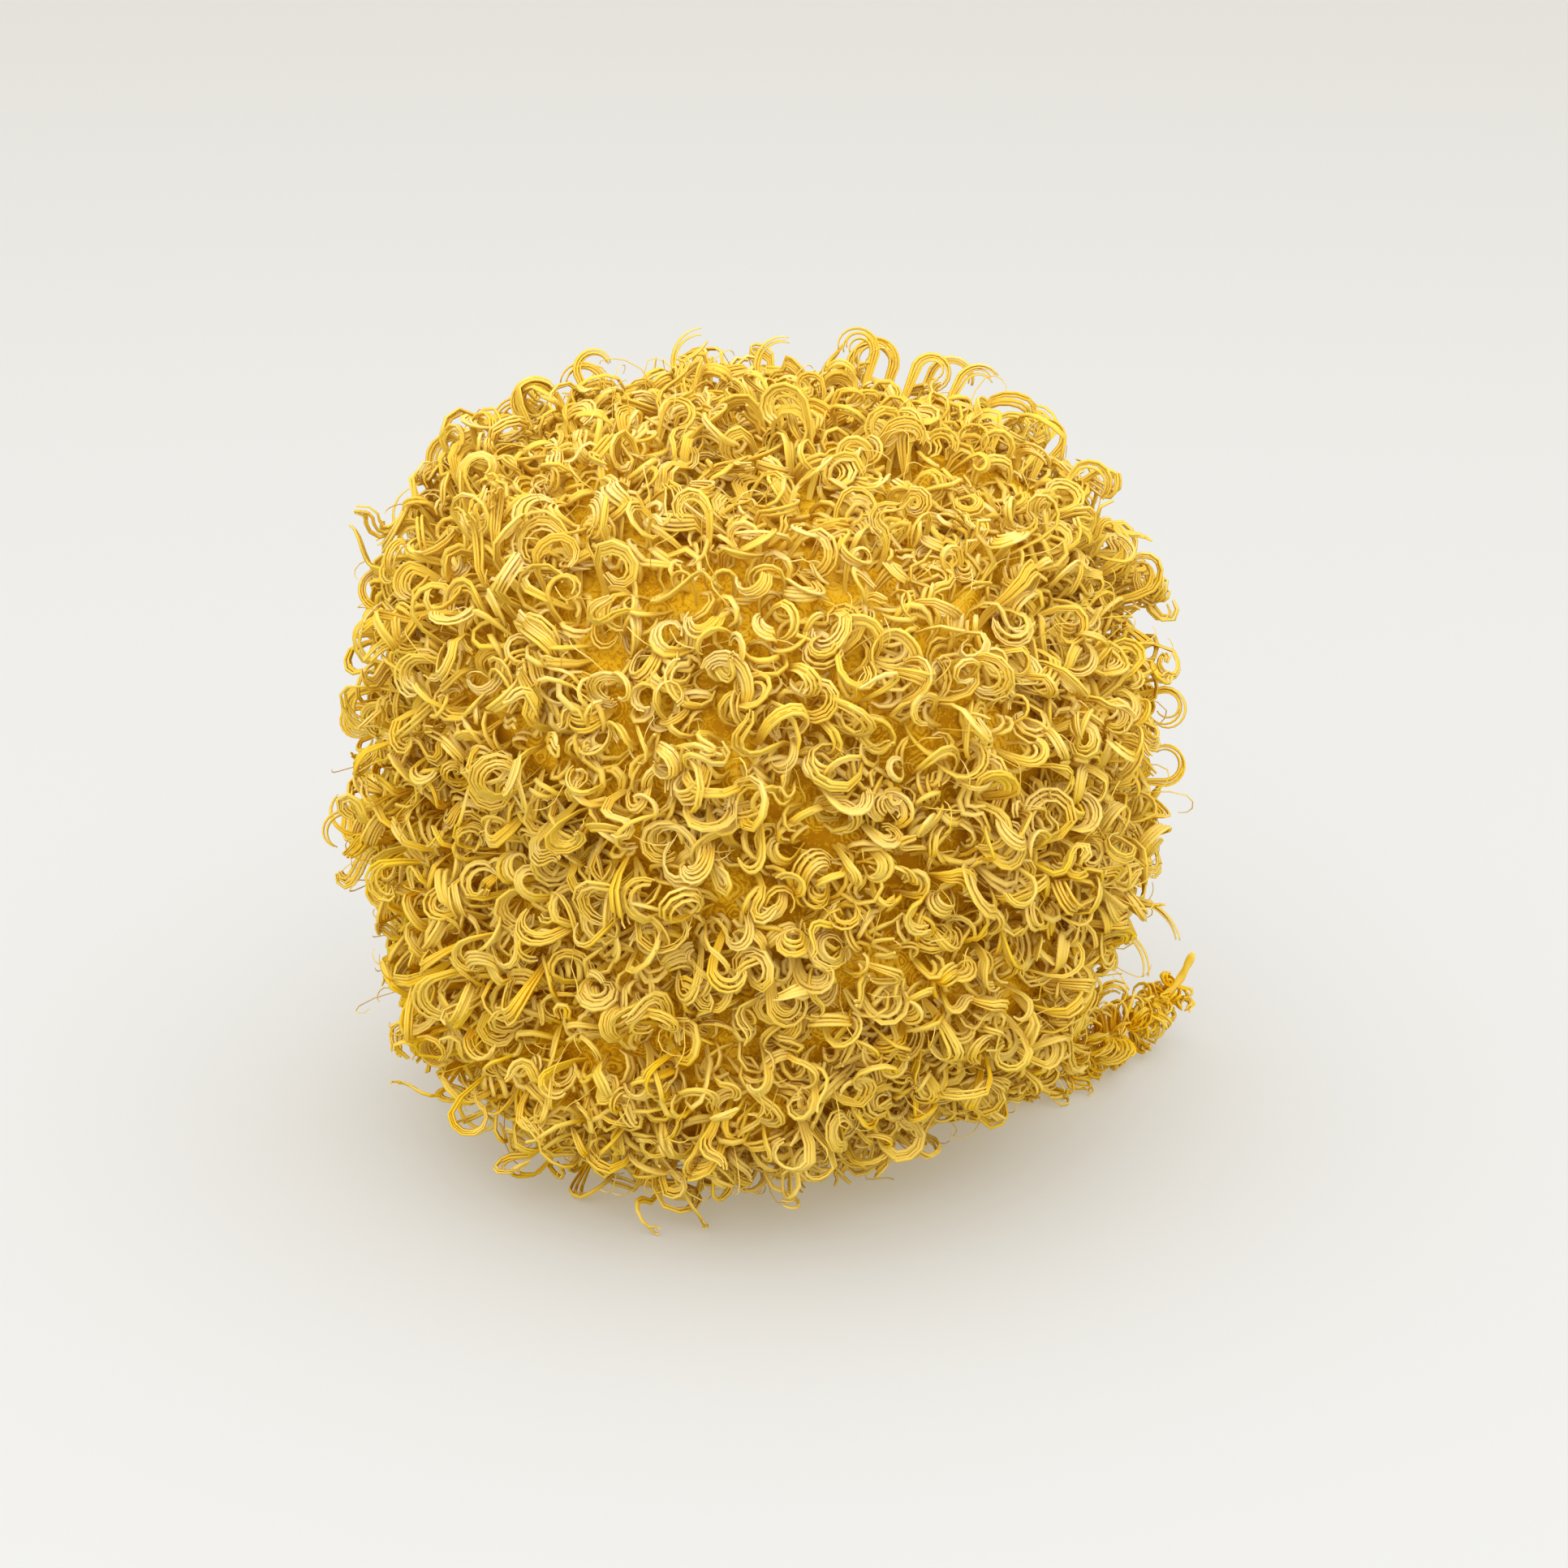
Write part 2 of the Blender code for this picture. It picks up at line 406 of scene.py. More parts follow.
def travelled(route):
    """How far along the route each of its points is."""
    far = [0.0]
    for one, other in zip(route, route[1:]):
        far.append(far[-1] + (other - one).length)
    return far


def make_thread(route, far):
    def radius_at(index, angle):
        lobe = 1.0 - PLY_DEPTH + PLY_DEPTH * math.cos(2.0 * angle - math.tau * far[index] / PLY_LENGTH)
        return END_DIAMETER / 2 * lobe * (0.55 if index == len(route) - 1 else 1.0)

    work = bmesh.new()
    add_tube(work, route, END_ACROSS, radius_at, END_SIDES, 0.6, lambda share: 0.8)
    return finish_tubes(work, "yarn_end")


end_route = smooth_route(END_ROUTE, END_STEP)
end_far = travelled(end_route)
yarn_end = make_thread(end_route, end_far)
print("the loose end is", round(end_far[-1] * 1000, 1), "mm long")

# %% [markdown]
# ## Matted wool
# Between the curls one sees down to wool that is matted flat. It has the same rings as the pile, only
# pressed down and in shade, and its colours are painted darker than the pile's as well, as painted shade
# for the depth. Modelling the rings would cost as much as the pile does and show for little, so they are
# a pattern. A Voronoi texture gives the distance to the middle of a cell, and the sine of that distance
# is a set of rings, one inside another. The edges of the cells are painted darker, as shade between the
# rings. A little noise bends the rings, and a finer, warped noise laid over them stands for the loose
# fluff that hides half of the rings.

# %% The matted rings
RINGS_PER_METRE = 235.0
LINES_PER_RING = 46.0
RING_BEND = 3.2 * MILLIMETRE
BENDS_PER_METRE = 260.0
FLUFF_PER_METRE = 900.0
RING_WEIGHT = 0.45
FLUFF_WEIGHT = 3.0
# Painted shade: how much darker the edges of the cells are painted, and how far the whole pattern is
# darkened.
EDGE_SHADE_WEIGHT = 0.30
MATTED_SHADE_OFFSET = -0.42
# The core's tones are darker than the pile's, as painted shade for the depth under the curls, and take
# little of the painted top light.
CORE_TONES = {
    "Shade": (0.450, 0.200, 0.004, 1.0), "Deep": (0.720, 0.420, 0.012, 1.0),
    "Gold": (0.760, 0.480, 0.040, 1.0), "Top Light": 0.1,
}


def make_matted_rings():
    rings = Tree("matted_rings", "ShaderNodeTree")
    rings.input("Rings per Metre", "NodeSocketFloat", RINGS_PER_METRE)
    rings.input("Lines per Ring", "NodeSocketFloat", LINES_PER_RING)
    rings.output("Along", "NodeSocketFloat")
    rings.output("Grain", "NodeSocketVector")
    given = rings.start()
    place = rings.get("ShaderNodeTexCoord", out="Object")
    bend = rings.get(
        "ShaderNodeTexNoise", {"Vector": place, "Scale": BENDS_PER_METRE, "Detail": 4.0}, out="Color"
    )
    bent = place + (bend - (0.5, 0.5, 0.5)) * RING_BEND
    cells = rings.node("ShaderNodeTexVoronoi", {"Vector": bent, "Scale": given["Rings per Metre"]})
    distance = Field(rings, cells.outputs["Distance"])
    line = rings.get("ShaderNodeMath", {0: distance * given["Lines per Ring"]}, operation="SINE")
    fluff = rings.get("ShaderNodeTexNoise", {
        "Vector": bent, "Scale": FLUFF_PER_METRE, "Detail": 4.0, "Roughness": 0.7, "Distortion": 2.5,
    })
    # Painted shade: the edges of the cells are darker, as shade between the matted rings, and the offset
    # darkens all of it.
    edge = rings.smooth(distance, 0.30, 0.66)
    pressed = line * RING_WEIGHT * (1.0 - edge)
    along = pressed + (fluff - 0.5) * FLUFF_WEIGHT - edge * EDGE_SHADE_WEIGHT + MATTED_SHADE_OFFSET
    return rings.finish({"Along": along, "Grain": bent * FLUFF_PER_METRE})


matted_rings = make_matted_rings()


def from_rings(nodes):
    pattern = nodes.new("ShaderNodeGroup")
    pattern.node_tree = matted_rings
    return {"Along": (pattern, "Along"), "Grain": (pattern, "Grain")}


core_wool = wool_material("core_wool", CORE_TONES, 1.0, from_rings)
print("material:", core_wool.name)

# %% [markdown]
# ## The wound core
# Under the curls lies the wound mass of the yarn. It could be modelled turn by turn, but the curls hide
# it, and only its furrows show, as brown shade between the turns. So the core is the part's own
# solid, drawn in by the depth of the pile. It is smoothed twice, a little and a lot. The difference
# between the two is the furrows, and adding it back a third stronger draws them deeper.

# %% The wound core
PILE_DEPTH = 7.2 * MILLIMETRE
FLOOR_GAP = 0.35 * MILLIMETRE
CORE_SMOOTH_PASSES = 2
BASE_SMOOTH_PASSES = 16
FURROW_GAIN = 1.3


def smoothed(work, passes):
    """Where the vertices of the mesh are once they have been smoothed this many times."""
    for _ in range(passes):
        bmesh.ops.smooth_vert(
            work, verts=work.verts, factor=0.5, use_axis_x=True, use_axis_y=True, use_axis_z=True
        )
    return [vertex.co.copy() for vertex in work.verts]


def make_core():
    work = bmesh.new()
    work.from_mesh(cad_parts["ball"].data)
    bmesh.ops.remove_doubles(work, verts=work.verts, dist=1e-6)
    work.normal_update()
    inward = [vertex.normal * -PILE_DEPTH for vertex in work.verts]
    for vertex, shift in zip(work.verts, inward, strict=True):
        vertex.co += shift
    ridged = smoothed(work, CORE_SMOOTH_PASSES)
    base = smoothed(work, BASE_SMOOTH_PASSES)
    for vertex, high, even in zip(work.verts, ridged, base, strict=True):
        vertex.co = even + (high - even) * FURROW_GAIN
    bmesh.ops.recalc_face_normals(work, faces=work.faces)
    mesh = bpy.data.meshes.new("core")
    work.to_mesh(mesh)
    work.free()
    mesh.shade_smooth()
    mesh.materials.append(core_wool)
    core = bpy.data.objects.new("core", mesh)
    scene.collection.objects.link(core)
    return core


core = make_core()
print("core:", len(core.data.polygons), "faces")

# %% [markdown]
# ## Sowing the locks
# A lock of pile comes out of the yarn about every three millimetres. Distribute Points on Faces with
# its Poisson Disk method keeps the points apart as real locks are, and never in rows. Each point
# keeps the way out of the ball, a number of its own, and the side of the ball that it is on, so that
# the pile can be made in six pieces of a handy size.

# %% Tree that sows locks
LOCK_SPACING = 2.70 * MILLIMETRE
MOST_PER_SQUARE_METRE = 4e6


def make_sowing_tree():
    sow = Tree("sow_locks")
    sow.input("Core", "NodeSocketGeometry")
    sow.input("Spacing", "NodeSocketFloat", 0.003)
    sow.input("Seed", "NodeSocketInt", 1)
    sow.output("Roots", "NodeSocketGeometry")
    given = sow.start()
    sockets = {
        "Mesh": given["Core"], "Distance Min": given["Spacing"], "Density Max": MOST_PER_SQUARE_METRE,
        "Seed": given["Seed"],
    }
    spread = sow.node("GeometryNodeDistributePointsOnFaces", sockets, distribute_method="POISSON")
    points = Field(sow, spread.outputs["Points"])
    outward = Field(sow, spread.outputs["Normal"])
    index = sow.get("GeometryNodeInputIndex")
    points = sow.get(
        "GeometryNodeStoreNamedAttribute",
        {"Geometry": points, "Name": "outward", "Value": outward},
        data_type="FLOAT_VECTOR",
    )
    points = sow.get(
        "GeometryNodeStoreNamedAttribute",
        {"Geometry": points, "Name": "lock", "Value": index},
        data_type="INT",
    )
    return sow.finish({"Roots": sow.get("GeometryNodePointsToVertices", {"Points": points})})


def run_tree(tree, source, name, values):
    """Runs a geometry tree on an object, and gives the result as a plain mesh object."""
    modifier = source.modifiers.new(tree.name, "NODES")
    modifier.node_group = tree
    for item in tree.interface.items_tree:
        if item.in_out == "INPUT" and item.name in values:
            modifier[item.identifier] = values[item.name]
    bpy.context.view_layer.update()
    graph = bpy.context.evaluated_depsgraph_get()
    mesh = bpy.data.meshes.new_from_object(
        source.evaluated_get(graph), preserve_all_data_layers=True, depsgraph=graph
    )
    source.modifiers.remove(modifier)
    mesh.name = name
    made = bpy.data.objects.new(name, mesh)
    scene.collection.objects.link(made)
    return made


sowing_tree = make_sowing_tree()
roots = run_tree(sowing_tree, core, "roots", {"Spacing": LOCK_SPACING, "Seed": 11})
print("locks sown:", len(roots.data.vertices))

# %% [markdown]
# ## One tree for every curl
# A lock is a flat ribbon of two to six strands, side by side, that bends round as one. Its shape is
# easy to say as a heading: at each step the strand turns a little more, and the steps are added up. A
# steady turn gives a ring or a C, and a turn that swings back gives an S. Accumulate Field does the
# adding. The random numbers belong to the lock, so that its strands bend alike, and only a few belong
# to the strand, which keeps them from being copies. The strand is then given a three-sided skin, which
# is enough for something half a millimetre thick.

# %% Tree that curls the locks
# Noise leans neighbouring locks the same way, and a finer one makes each strand waver.
LEANS_PER_METRE = 70.0
LEAN_SHARE = 0.8
WAVERS_PER_METRE = 160.0
# Two locks share no strand's number while none has more strands than this.
STRAND_NUMBERS = 16
WAVE_TURN = 0.9
WAVE_REACH = 4.6
TIP_TIGHTENING = 0.44
FLOOR_SPREAD = 1.2 * MILLIMETRE


def make_curl_tree():
    curl = Tree("curl_locks")
    curl.input("Roots", "NodeSocketGeometry")
    curl.input("Part", "NodeSocketInt", 0)
    curl.input("Fewest Strands", "NodeSocketInt", 2)
    curl.input("Most Strands", "NodeSocketInt", 6)
    curl.input("Points", "NodeSocketInt", 11)
    curl.input("Ring Radius", "NodeSocketFloat", 0.00215)
    curl.input("Least Turn", "NodeSocketFloat", 3.4)
    curl.input("Most Turn", "NodeSocketFloat", 6.4)
    curl.input("Wave Share", "NodeSocketFloat", 0.2)
    curl.input("Grain Lines", "NodeSocketFloat", 3.5)
    curl.input("Strand Spacing", "NodeSocketFloat", 0.00040)
    curl.input("Fibre Radius", "NodeSocketFloat", 0.00028)
    curl.input("Least Flat", "NodeSocketFloat", 0.55)
    curl.input("Least Lift", "NodeSocketFloat", 0.0012)
    curl.input("Most Lift", "NodeSocketFloat", 0.0052)
    curl.input("Looseness", "NodeSocketFloat", 0.05)
    curl.input("Wander", "NodeSocketFloat", 0.0006)
    curl.input("Floor", "NodeSocketFloat", 0.00035)
    curl.input("Seed", "NodeSocketInt", 1)
    curl.input("Wool", "NodeSocketMaterial")
    curl.output("Curls", "NodeSocketGeometry")
    given = curl.start()

    def stored(name, kind="FLOAT"):
        return curl.get("GeometryNodeInputNamedAttribute", {"Name": name}, data_type=kind)

    def chance(low, high, owner, step):
        """A random number from low to high for each owner."""
        sockets = {2: low, 3: high, "ID": owner, "Seed": given["Seed"] + step}
        return curl.get("FunctionNodeRandomValue", sockets, out=1, data_type="FLOAT")

    def chance_vector(size, owner, step):
        sockets = {0: (-size,) * 3, 1: (size,) * 3, "ID": owner, "Seed": given["Seed"] + step}
        return curl.get("FunctionNodeRandomValue", sockets, out=0, data_type="FLOAT_VECTOR")

    def keep(geometry, name, value, kind="FLOAT"):
        sockets = {"Geometry": geometry, "Name": name, "Value": value}
        return curl.get("GeometryNodeStoreNamedAttribute", sockets, data_type=kind)

    def wave(operation, value):
        return curl.get("ShaderNodeMath", {0: value}, operation=operation)

    # Take this part's roots, and copy each one once for every strand.
    lock = stored("lock", "INT")
    strands = curl.get(
        "FunctionNodeRandomValue",
        {4: given["Fewest Strands"], 5: given["Most Strands"], "ID": lock, "Seed": given["Seed"]},
        out=2,
        data_type="INT",
    )
    sockets = {2: stored("part", "INT"), 3: given["Part"]}
    is_here = curl.get("FunctionNodeCompare", sockets, data_type="INT", operation="EQUAL")
    here = curl.get("GeometryNodeSeparateGeometry", {"Geometry": given["Roots"], "Selection": is_here})
    sockets = {"Geometry": here, "Amount": strands}
    copies = curl.node("GeometryNodeDuplicateElements", sockets, domain="POINT")
    points = Field(curl, copies.outputs["Geometry"])
    points = keep(points, "copy", Field(curl, copies.outputs["Duplicate Index"]), "INT")
    points = keep(points, "strand", curl.get("GeometryNodeInputIndex"), "INT")

    # Give each strand its points, all at the root for now.
    count = given["Points"]
    line = curl.get("GeometryNodeMeshLine", {"Count": count, "Offset": (0.0, 0.0, 0.0)})
    line = keep(line, "along", curl.get("GeometryNodeInputIndex") / (count - 1))
    strings = curl.get("GeometryNodeInstanceOnPoints", {"Points": points, "Instance": line})
    strings = curl.get("GeometryNodeRealizeInstances", {"Geometry": strings})

    # The frame of a lock: outward, and two ways across. The curl turns about its axis.
    along, strand, reach = stored("along"), stored("strand", "INT"), stored("reach")
    fellow = lock * STRAND_NUMBERS + stored("copy", "INT")
    outward = stored("outward", "FLOAT_VECTOR")
    root = curl.get("GeometryNodeInputPosition")
    drift = curl.get("ShaderNodeTexNoise", {"Vector": root, "Scale": LEANS_PER_METRE}, out="Color")
    loose = chance_vector(1.0, lock, 1) + (drift - (0.5, 0.5, 0.5)) * LEAN_SHARE
    across = curl.unit(curl.cross(outward, loose))
    beside = curl.cross(outward, across)
    flat = chance(given["Least Flat"], 1.0, lock, 2)
    upright = curl.sum_of("SQRT", 1.0 - flat * flat)
    axis = outward * flat + across * upright
    ahead = outward * upright - across * flat

    # The heading. Most locks are rings, hooks and Cs, and some swing to and fro instead.
    hand = wave("SIGN", chance(-1.0, 1.0, lock, 3))
    kind = chance(0.0, 1.0, lock, 4)
    is_wave = curl.get("ShaderNodeMath", {0: kind, 1: given["Wave Share"]}, operation="LESS_THAN")
    full_turn = chance(given["Least Turn"], given["Most Turn"], lock, 5)
    own = 1.0 + given["Looseness"] * chance(-1.0, 1.0, fellow, 7)
    turn = (full_turn * (1.0 - is_wave) + is_wave * WAVE_TURN) * own
    swing = chance(1.0, 1.9, lock, 6) * is_wave + 0.12
    heading = turn * along ** chance(0.9, 1.4, lock, 8)
    heading = (heading + swing * wave("SINE", along * 6.0 + kind * 40.0)) * hand
    cosine, sine = wave("COSINE", heading), wave("SINE", heading)
    direction = ahead * cosine + beside * sine
    aside = beside * cosine - ahead * sine

    # Add the steps up. They shorten towards the tip, so the curl tightens there.
    radius = given["Ring Radius"] * reach * chance(0.72, 1.28, lock, 9)
    length = radius * (full_turn * (1.0 - is_wave) + is_wave * WAVE_REACH) * (1.0 + (own - 1.0) * 1.5)
    step = length / (count - 1) * (1.0 + TIP_TIGHTENING / 2 - along * TIP_TIGHTENING)
    path = curl.get(
        "GeometryNodeAccumulateField",
        {0: direction * step, "Group ID": strand},
        out="Trailing",
        data_type="FLOAT_VECTOR",
    )

    # Lift it off the core, set its strands side by side, and let it wander.
    lift = chance(given["Least Lift"], given["Most Lift"], lock, 11) * reach
    rise = outward * lift * curl.smooth(along, 0.0, 0.3)
    place_in_ribbon = stored("copy", "INT") - (strands - 1) * 0.5
    fan = 0.30 + 0.70 * wave("SINE", along * 2.7)
    tilt = chance(0.0, 1.25, lock, 12)
    sideways = aside * wave("COSINE", tilt) + axis * wave("SINE", tilt)
    ribbon = sideways * place_in_ribbon * fan * given["Strand Spacing"]
    stray = chance_vector(1.0, fellow, 13) * given["Strand Spacing"] * given["Looseness"] * 9.0
    stray = stray * curl.smooth(along, 0.0, 0.5)
    pitch = axis * along * length * chance(-0.13, 0.13, lock, 14)
    placed = path + rise + ribbon + stray + pitch
    strings = curl.get("GeometryNodeSetPosition", {"Geometry": strings, "Offset": placed})
    here_now = curl.get("GeometryNodeInputPosition")
    sockets = {"Vector": here_now, "Scale": WAVERS_PER_METRE, "Detail": 2.0}
    wander = curl.get("ShaderNodeTexNoise", sockets, out="Color")
    wander = (wander - (0.5, 0.5, 0.5)) * given["Wander"] * 2.0 * along
    strings = curl.get("GeometryNodeSetPosition", {"Geometry": strings, "Offset": wander})

    # Nothing goes through the surface that the ball rests on.
    parts = curl.node("ShaderNodeSeparateXYZ", {0: curl.get("GeometryNodeInputPosition")})
    floor = given["Floor"] + chance(0.0, FLOOR_SPREAD, fellow, 15)
    left, deep, high = (Field(curl, part) for part in parts.outputs)
    kept = curl.get("ShaderNodeCombineXYZ", {0: left, 1: deep, 2: curl.sum_of("MAXIMUM", high, floor)})
    strings = curl.get("GeometryNodeSetPosition", {"Geometry": strings, "Position": kept})

    # Skin the strands. The grain is a place round the strand and along it.
    strings = keep(strings, "chance", chance(0.0, 1.0, fellow, 16) * 0.5 + chance(0.0, 0.5, lock, 17))
    curves = curl.get("GeometryNodeMeshToCurve", {"Mesh": strings})
    taper = 0.45 + 0.55 * wave("SINE", along * 2.5 + 0.35)
    thickness = given["Fibre Radius"] * taper * chance(0.8, 1.15, fellow, 18)
    rim = curl.get("GeometryNodeCurvePrimitiveCircle", {"Resolution": 3, "Radius": 1.0})
    rim = keep(rim, "around", curl.get("GeometryNodeInputIndex") * 1.3)
    sockets = {"Curve": curves, "Profile Curve": rim, "Scale": thickness, "Fill Caps": True}
    skin = curl.get("GeometryNodeCurveToMesh", sockets)
    sockets = {0: stored("around") * given["Grain Lines"], 1: stored("strand", "INT") * 0.37, 2: along * 3.0}
    skin = keep(skin, "grain", curl.get("ShaderNodeCombineXYZ", sockets), "FLOAT_VECTOR")
    for spare in ("outward", "lock", "part", "copy", "strand", "reach", "around", "id"):
        skin = curl.get("GeometryNodeRemoveAttribute", {"Geometry": skin, "Name": spare})
    skin = curl.get("GeometryNodeSetShadeSmooth", {"Geometry": skin})
    skin = curl.get("GeometryNodeRealizeInstances", {"Geometry": skin})
    skin = curl.get("GeometryNodeSetMaterial", {"Geometry": skin, "Material": given["Wool"]})
    return curl.finish({"Curls": skin})


curl_tree = make_curl_tree()
print("the curl tree has", len(curl_tree.nodes), "nodes")

# %% [markdown]
# ## The pile
# The locks are split by the side of the ball that they face, as the faces of a dice are. Real pile isn't
# the same length all over. It is pulled into clumps as the ball is handled, so a noise makes it longer
# here and shorter there, a table of four places adds the tufts along the top, and round the place where
# the yarn's end leaves the ball the pile is drawn in, because the end pulls it flat.

# %% Curl every lock of the ball
SIDES = ("left", "right", "front", "back", "below", "above")
DRAWN_AT = Vector((0.043, 0.000, 0.018))
DRAWN_OVER = 30.0 * MILLIMETRE
DRAWN_IN = 0.55
TUFTS = (
    (Vector((-0.028, 0.015, 0.095)), 0.55), (Vector((0.020, 0.017, 0.100)), 0.40),
    (Vector((0.038, 0.013, 0.088)), 0.30), (Vector((-0.042, 0.012, 0.083)), 0.30),
)
TUFT_OVER = 15.0 * MILLIMETRE
CLUMP_SIZE = 16.0 * MILLIMETRE
CLUMP_DEPTH = 0.45


def side_of(place):
    """The number in SIDES of the side of the ball that this place is on."""
    way = place - ball_middle
    axis = max(range(3), key=lambda number: abs(way[number]))
    return 2 * axis + (way[axis] > 0.0)


def mark_roots(points, part_of, reach_of=lambda place: 1.0):
    marks = points.data.attributes.new("part", "INT", "POINT")
    marks.data.foreach_set("value", [part_of(vertex.co) for vertex in points.data.vertices])
    reach = points.data.attributes.new("reach", "FLOAT", "POINT")
    reach.data.foreach_set("value", [reach_of(vertex.co) for vertex in points.data.vertices])


def triangles_in(piece):
    return sum(len(face.vertices) - 2 for face in piece.data.polygons)


def reach_at(place):
    """How long the pile is here, as a share. It is drawn in where the yarn's end leaves the ball."""
    drawn_in = DRAWN_IN * max(0.0, 1.0 - (place - DRAWN_AT).length / DRAWN_OVER)
    tufted = sum(gain * max(0.0, 1.0 - (place - middle).length / TUFT_OVER) for middle, gain in TUFTS)
    return (1.0 - drawn_in) * (1.0 + tufted + CLUMP_DEPTH * noise.noise(place / CLUMP_SIZE))


mark_roots(roots, side_of, reach_at)
pile = []
for number, side in enumerate(SIDES):
    values = {"Part": number, "Seed": 5, "Wool": curl_wool, "Floor": FLOOR_GAP}
    if side == "below":
        values["Most Strands"] = 4
    piece = run_tree(curl_tree, roots, "curls_" + side, values)
    pile.append(piece)
    print(piece.name, triangles_in(piece), "triangles")

# %% [markdown]
# ## The pile of the loose end
# The same trees sow and curl the pile of the loose end, straight onto its thread. The pile gets shorter
# towards the tip, and the last five millimetres are bare, because locks fall out of a cut end.

# %% The pile of the loose end
END_SPACING = 0.60 * MILLIMETRE
BARE_TIP = 5.0 * MILLIMETRE
PILE_FADE = 15.0 * MILLIMETRE


def left_to_go(place):
    """How far it is from this place on the thread to its tip."""
    nearest = min(range(len(end_route)), key=lambda index: (end_route[index] - place).length)
    return end_far[-1] - end_far[nearest]


end_roots = run_tree(sowing_tree, yarn_end, "end_roots", {"Spacing": END_SPACING, "Seed": 3})
mark_roots(
    end_roots,
    lambda place: 0 if left_to_go(place) > BARE_TIP else -1,
    lambda place: min(1.0, 0.35 + 0.65 * (left_to_go(place) - BARE_TIP) / PILE_FADE),
)
values = {
    "Seed": 31, "Wool": curl_wool, "Floor": FLOOR_GAP, "Points": 8, "Most Strands": 5, "Ring Radius": 0.0019,
    "Least Turn": 1.6, "Most Turn": 3.8, "Wave Share": 0.1, "Strand Spacing": 0.00045,
    "Fibre Radius": 0.00028, "Least Lift": 0.0002, "Most Lift": 0.0020, "Least Flat": 0.0, "Looseness": 0.10,
}
end_pile = run_tree(curl_tree, end_roots, "end_curls", values)
bpy.data.objects.remove(end_roots)
print("end_curls:", triangles_in(end_pile), "triangles")

# %% [markdown]
# ## Under-wool
# Between the long locks the pile has shorter and thicker ones, which never got out to the surface. They
# fill the gaps, so that nowhere is the smooth core seen bare. The tree that curls the locks makes them
# too, with other numbers: two strands each, close to the core and a little untidy.

# %% Under-wool
UNDER_SPACING = 3.0 * MILLIMETRE
under_roots = run_tree(sowing_tree, core, "under_roots", {"Spacing": UNDER_SPACING, "Seed": 23})
mark_roots(under_roots, lambda place: int(place.x > 0.0))
for number, name in enumerate(("under_wool_left", "under_wool_right")):
    values = {
        "Part": number, "Seed": 71, "Wool": curl_wool, "Floor": FLOOR_GAP, "Points": 7,
        "Fewest Strands": 2, "Most Strands": 2, "Ring Radius": 0.0018, "Most Turn": 4.4, "Wave Share": 0.2,
        "Strand Spacing": 0.0009, "Fibre Radius": 0.00042, "Grain Lines": 5.0, "Least Lift": 0.0002,
        "Most Lift": 0.0018, "Looseness": 0.12, "Wander": 0.0007,
    }
    piece = run_tree(curl_tree, under_roots, name, values)
    pile.append(piece)
    print(piece.name, triangles_in(piece), "triangles")
bpy.data.objects.remove(under_roots)

# %% [markdown]
# ## Down
# Single fibres work loose from wool and stand off it as a thin haze. They are the same tree once more,
# with one strand to each point, a third as thick as the others, and lifted above the curls.

# %% Down
DOWN_SPACING = 5.0 * MILLIMETRE
down_roots = run_tree(sowing_tree, core, "down_roots", {"Spacing": DOWN_SPACING, "Seed": 41})
mark_roots(down_roots, lambda place: 0)
values = {
    "Seed": 97, "Wool": curl_wool, "Floor": FLOOR_GAP, "Points": 8, "Fewest Strands": 1, "Most Strands": 1,
    "Ring Radius": 0.0022, "Least Turn": 2.0, "Most Turn": 3.6, "Wave Share": 0.0, "Strand Spacing": 0.002,
    "Fibre Radius": 0.00010, "Least Flat": 0.0, "Least Lift": 0.002, "Most Lift": 0.0046, "Looseness": 0.2,
    "Wander": 0.0005,
}
down = run_tree(curl_tree, down_roots, "down", values)
pile.append(down)
bpy.data.objects.remove(down_roots)
print("down:", triangles_in(down), "triangles")


# %% [markdown]
# ## Curls that stand off the outline
# A few curls stand clear of the ball, and the eye goes to them, because they are seen against the
# plain surface behind. Chance seldom puts them where they look right, so these are laid one by one, from
# a table. Each one starts on the core, runs straight out for a little, and then bends one way at a
# steady rate. Each of its strands is a tube.

